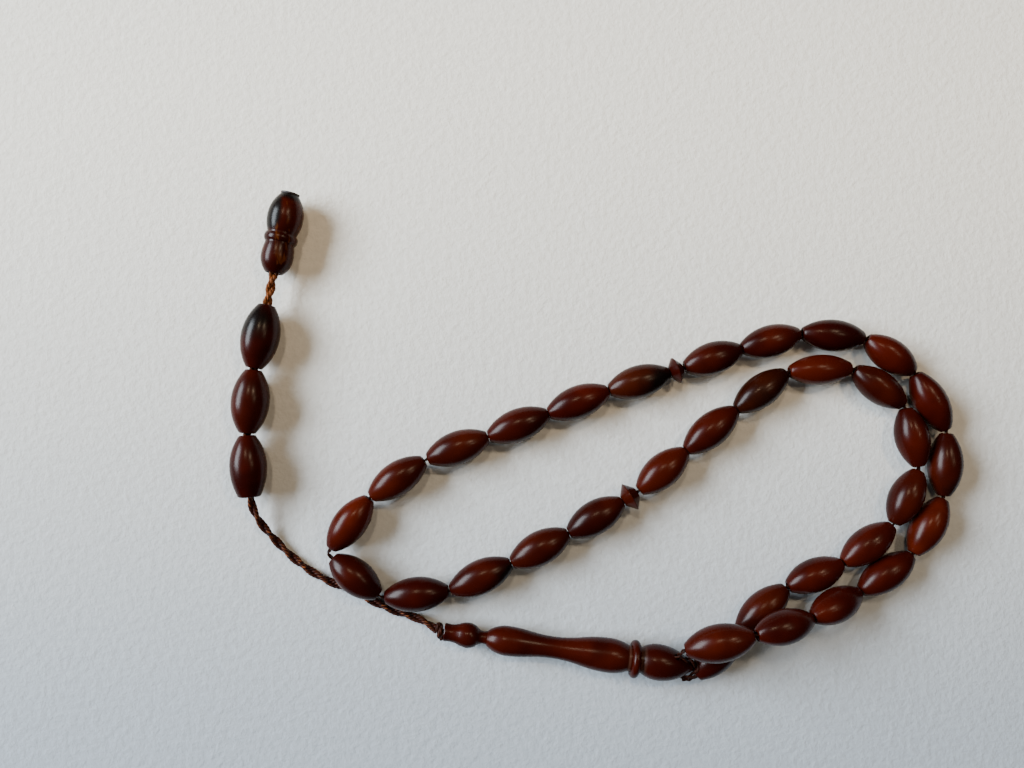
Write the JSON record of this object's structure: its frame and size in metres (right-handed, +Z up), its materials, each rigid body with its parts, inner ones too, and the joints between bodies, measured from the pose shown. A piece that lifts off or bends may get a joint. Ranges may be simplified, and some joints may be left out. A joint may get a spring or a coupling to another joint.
{
  "type": "prayer beads",
  "caption": "Misbaha prayer beads: a loop of olive-shaped beads with marker discs, joined by a turned imam to a twisted tail cord with large beads and a finial.",
  "frame": {"origin": "on the table at the centre of the footprint of the string as it lies", "axes": "+X along the longest extent of the string as it lies, +Z up from the table, +Y across"},
  "size_m": [0.1611, 0.1069, 0.0146],
  "materials": {
    "bead_material": "polished",
    "end_disc_material": "dull",
    "loop_cord_material": "waxed thread",
    "tail_cord_material": "two-ply twisted cord"
  },
  "bodies": {
    "imam": {"imam": "bead_material", "tail_cap": "bead_material", "imam_cord": "tail_cord_material", "cap_knot": "tail_cord_material", "loop_cord_outer": "loop_cord_material", "loop_cord_inner": "loop_cord_material"},
    "upper_strand": {"loop_cord_upper": "loop_cord_material"},
    "far_turn": {"loop_cord_turn": "loop_cord_material"},
    "lower_strand": {"loop_cord_lower": "loop_cord_material"},
    "tail": {"tail_cord": "tail_cord_material"},
    "finial": {"finial": "bead_material", "finial_end_disc": "end_disc_material", "finial_cord": "tail_cord_material", "end_knot": "tail_cord_material"},
    "tail_bead_1": {"tail_bead_1": "bead_material"},
    "bead_01": {"bead_01": "bead_material"},
    "bead_02": {"bead_02": "bead_material"},
    "bead_03": {"bead_03": "bead_material"},
    "bead_04": {"bead_04": "bead_material"},
    "bead_05": {"bead_05": "bead_material"},
    "bead_06": {"bead_06": "bead_material"},
    "bead_07": {"bead_07": "bead_material"},
    "bead_08": {"bead_08": "bead_material"},
    "bead_09": {"bead_09": "bead_material"},
    "bead_10": {"bead_10": "bead_material"},
    "bead_11": {"bead_11": "bead_material"},
    "bead_12": {"bead_12": "bead_material"},
    "bead_13": {"bead_13": "bead_material"},
    "bead_14": {"bead_14": "bead_material"},
    "bead_15": {"bead_15": "bead_material"},
    "bead_16": {"bead_16": "bead_material"},
    "bead_17": {"bead_17": "bead_material"},
    "bead_18": {"bead_18": "bead_material"},
    "bead_19": {"bead_19": "bead_material"},
    "bead_20": {"bead_20": "bead_material"},
    "bead_21": {"bead_21": "bead_material"},
    "bead_22": {"bead_22": "bead_material"},
    "bead_23": {"bead_23": "bead_material"},
    "bead_24": {"bead_24": "bead_material"},
    "bead_25": {"bead_25": "bead_material"},
    "bead_26": {"bead_26": "bead_material"},
    "bead_27": {"bead_27": "bead_material"},
    "bead_28": {"bead_28": "bead_material"},
    "bead_29": {"bead_29": "bead_material"},
    "bead_30": {"bead_30": "bead_material"},
    "bead_31": {"bead_31": "bead_material"},
    "bead_32": {"bead_32": "bead_material"},
    "bead_33": {"bead_33": "bead_material"},
    "marker_disc_1": {"marker_disc_1": "bead_material"},
    "marker_disc_2": {"marker_disc_2": "bead_material"},
    "tail_bead_2": {"tail_bead_2": "bead_material"},
    "tail_bead_3": {"tail_bead_3": "bead_material"}
  },
  "joints": [
    {"name": "tail_swing", "type": "hinge", "parent": "imam", "child": "tail", "pos_m": [-0.03549, -0.04253, 0.00282], "axis": [0, 0, 1], "range_deg": [0, 60]},
    {"name": "finial_swing", "type": "hinge", "parent": "tail", "child": "finial", "pos_m": [-0.07169, 0.03544, 0.0041], "axis": [0, 0, 1], "range_deg": [-30, 30]},
    {"name": "tail_bead_1_slide", "type": "slide", "parent": "tail", "child": "tail_bead_1", "axis": [0.1908, 0.9816, 0], "range_m": [0, 0.0045]},
    {"name": "upper_strand_fold", "type": "hinge", "parent": "imam", "child": "upper_strand", "pos_m": [0.01837, 0.01492, 0.0037], "axis": [0, 0, 1], "range_deg": [-6, 0]},
    {"name": "far_turn_fold", "type": "hinge", "parent": "upper_strand", "child": "far_turn", "pos_m": [-0.03842, -0.00523, 0.0037], "axis": [0, 0, 1], "range_deg": [0, 6]},
    {"name": "lower_strand_fold", "type": "hinge", "parent": "far_turn", "child": "lower_strand", "pos_m": [-0.04791, -0.035, 0.0037], "axis": [0, 0, 1], "range_deg": [-6, 0]},
    {"name": "bead_01_spin", "type": "hinge", "parent": "imam", "child": "bead_01", "pos_m": [0.0238, -0.04336, 0.01061], "axis": [0.9583, 0.2389, 0.1564], "continuous": true},
    {"name": "bead_02_spin", "type": "hinge", "parent": "imam", "child": "bead_02", "pos_m": [0.03767, -0.04014, 0.01049], "axis": [0.9602, 0.2041, -0.1908], "continuous": true},
    {"name": "bead_03_spin", "type": "hinge", "parent": "imam", "child": "bead_03", "pos_m": [0.05058, -0.03668, 0.00648], "axis": [0.8818, 0.2865, -0.3746], "continuous": true},
    {"name": "bead_04_spin", "type": "hinge", "parent": "imam", "child": "bead_04", "pos_m": [0.06314, -0.03049, 0.0037], "axis": [0.829, 0.5592, 0], "continuous": true},
    {"name": "bead_05_spin", "type": "hinge", "parent": "imam", "child": "bead_05", "pos_m": [0.07277, -0.02016, 0.0037], "axis": [0.5, 0.866, 0], "continuous": true},
    {"name": "bead_06_spin", "type": "hinge", "parent": "imam", "child": "bead_06", "pos_m": [0.07691, -0.00656, 0.0037], "axis": [0.0698, 0.9976, 0], "continuous": true},
    {"name": "bead_07_spin", "type": "hinge", "parent": "imam", "child": "bead_07", "pos_m": [0.07392, 0.00744, 0.0037], "axis": [-0.4695, 0.8829, 0], "continuous": true},
    {"name": "bead_08_spin", "type": "hinge", "parent": "imam", "child": "bead_08", "pos_m": [0.06494, 0.01783, 0.0037], "axis": [-0.8192, 0.5736, 0], "continuous": true},
    {"name": "bead_09_spin", "type": "hinge", "parent": "imam", "child": "bead_09", "pos_m": [0.05202, 0.02222, 0.0037], "axis": [-0.9976, 0.0698, 0], "continuous": true},
    {"name": "bead_10_spin", "type": "hinge", "parent": "imam", "child": "bead_10", "pos_m": [0.03799, 0.02091, 0.0037], "axis": [-0.9659, -0.2588, 0], "continuous": true},
    {"name": "bead_11_spin", "type": "hinge", "parent": "imam", "child": "bead_11", "pos_m": [0.02497, 0.01706, 0.0037], "axis": [-0.9511, -0.309, 0], "continuous": true},
    {"name": "bead_12_spin", "type": "hinge", "parent": "upper_strand", "child": "bead_12", "pos_m": [0.00851, 0.01185, 0.0037], "axis": [-0.9613, -0.2756, 0], "continuous": true},
    {"name": "bead_13_spin", "type": "hinge", "parent": "upper_strand", "child": "bead_13", "pos_m": [-0.00497, 0.00733, 0.0037], "axis": [-0.9336, -0.3584, 0], "continuous": true},
    {"name": "bead_14_spin", "type": "hinge", "parent": "upper_strand", "child": "bead_14", "pos_m": [-0.0182, 0.00226, 0.0037], "axis": [-0.9336, -0.3584, 0], "continuous": true},
    {"name": "bead_15_spin", "type": "hinge", "parent": "upper_strand", "child": "bead_15", "pos_m": [-0.03145, -0.0027, 0.0037], "axis": [-0.9397, -0.342, 0], "continuous": true},
    {"name": "bead_16_spin", "type": "hinge", "parent": "far_turn", "child": "bead_16", "pos_m": [-0.04452, -0.00935, 0.0037], "axis": [-0.829, -0.5592, 0], "continuous": true},
    {"name": "bead_17_spin", "type": "hinge", "parent": "far_turn", "child": "bead_17", "pos_m": [-0.05473, -0.01899, 0.0037], "axis": [-0.6018, -0.7986, 0], "continuous": true},
    {"name": "bead_18_spin", "type": "hinge", "parent": "far_turn", "child": "bead_18", "pos_m": [-0.05348, -0.03049, 0.0037], "axis": [-0.7771, 0.6293, 0], "continuous": true},
    {"name": "bead_19_spin", "type": "hinge", "parent": "lower_strand", "child": "bead_19", "pos_m": [-0.04028, -0.03433, 0.0037], "axis": [-0.9962, -0.0872, 0], "continuous": true},
    {"name": "bead_20_spin", "type": "hinge", "parent": "lower_strand", "child": "bead_20", "pos_m": [-0.02636, -0.03069, 0.0037], "axis": [-0.9135, -0.4067, 0], "continuous": true},
    {"name": "bead_21_spin", "type": "hinge", "parent": "lower_strand", "child": "bead_21", "pos_m": [-0.01347, -0.02454, 0.0037], "axis": [-0.891, -0.454, 0], "continuous": true},
    {"name": "bead_22_spin", "type": "hinge", "parent": "lower_strand", "child": "bead_22", "pos_m": [-0.00122, -0.0179, 0.0037], "axis": [-0.866, -0.5, 0], "continuous": true},
    {"name": "bead_23_spin", "type": "hinge", "parent": "imam", "child": "bead_23", "pos_m": [0.01359, -0.00776, 0.0037], "axis": [-0.766, -0.6428, 0], "continuous": true},
    {"name": "bead_24_spin", "type": "hinge", "parent": "imam", "child": "bead_24", "pos_m": [0.02443, 0.00117, 0.0037], "axis": [-0.7771, -0.6293, 0], "continuous": true},
    {"name": "bead_25_spin", "type": "hinge", "parent": "imam", "child": "bead_25", "pos_m": [0.03572, 0.00984, 0.0037], "axis": [-0.809, -0.5878, 0], "continuous": true},
    {"name": "bead_26_spin", "type": "hinge", "parent": "imam", "child": "bead_26", "pos_m": [0.04902, 0.01453, 0.0037], "axis": [-0.9986, -0.0523, 0], "continuous": true},
    {"name": "bead_27_spin", "type": "hinge", "parent": "imam", "child": "bead_27", "pos_m": [0.06225, 0.01072, 0.0037], "axis": [-0.809, 0.5878, 0], "continuous": true},
    {"name": "bead_28_spin", "type": "hinge", "parent": "imam", "child": "bead_28", "pos_m": [0.06955, -0.00049, 0.0037], "axis": [-0.2079, 0.9781, 0], "continuous": true},
    {"name": "bead_29_spin", "type": "hinge", "parent": "imam", "child": "bead_29", "pos_m": [0.06796, -0.01371, 0.0037], "axis": [0.4384, 0.8988, 0], "continuous": true},
    {"name": "bead_30_spin", "type": "hinge", "parent": "imam", "child": "bead_30", "pos_m": [0.05914, -0.0241, 0.0037], "axis": [0.809, 0.5878, 0], "continuous": true},
    {"name": "bead_31_spin", "type": "hinge", "parent": "imam", "child": "bead_31", "pos_m": [0.0472, -0.03076, 0.0037], "axis": [0.9272, 0.3746, 0], "continuous": true},
    {"name": "bead_32_spin", "type": "hinge", "parent": "imam", "child": "bead_32", "pos_m": [0.03539, -0.03808, 0.0037], "axis": [0.7547, 0.6561, 0], "continuous": true},
    {"name": "bead_33_spin", "type": "hinge", "parent": "imam", "child": "bead_33", "pos_m": [0.02532, -0.04762, 0.0037], "axis": [0.6947, 0.7193, 0], "continuous": true},
    {"name": "marker_disc_1_spin", "type": "hinge", "parent": "upper_strand", "child": "marker_disc_1", "pos_m": [0.01675, 0.01432, 0.0037], "axis": [-0.9397, -0.342, 0], "continuous": true},
    {"name": "marker_disc_2_spin", "type": "hinge", "parent": "lower_strand", "child": "marker_disc_2", "pos_m": [0.00633, -0.01346, 0.0037], "axis": [-0.848, -0.5299, 0], "continuous": true},
    {"name": "tail_bead_2_spin", "type": "hinge", "parent": "tail", "child": "tail_bead_2", "pos_m": [-0.07639, 0.0074, 0.0041], "axis": [0.0872, 0.9962, 0], "continuous": true},
    {"name": "tail_bead_3_spin", "type": "hinge", "parent": "tail", "child": "tail_bead_3", "pos_m": [-0.07665, -0.00656, 0.0041], "axis": [-0.0523, 0.9986, 0], "continuous": true}
  ],
  "couplings": [
    {"joint": "far_turn_fold", "follows": "upper_strand_fold", "ratio": -1},
    {"joint": "lower_strand_fold", "follows": "upper_strand_fold", "ratio": 1}
  ]
}
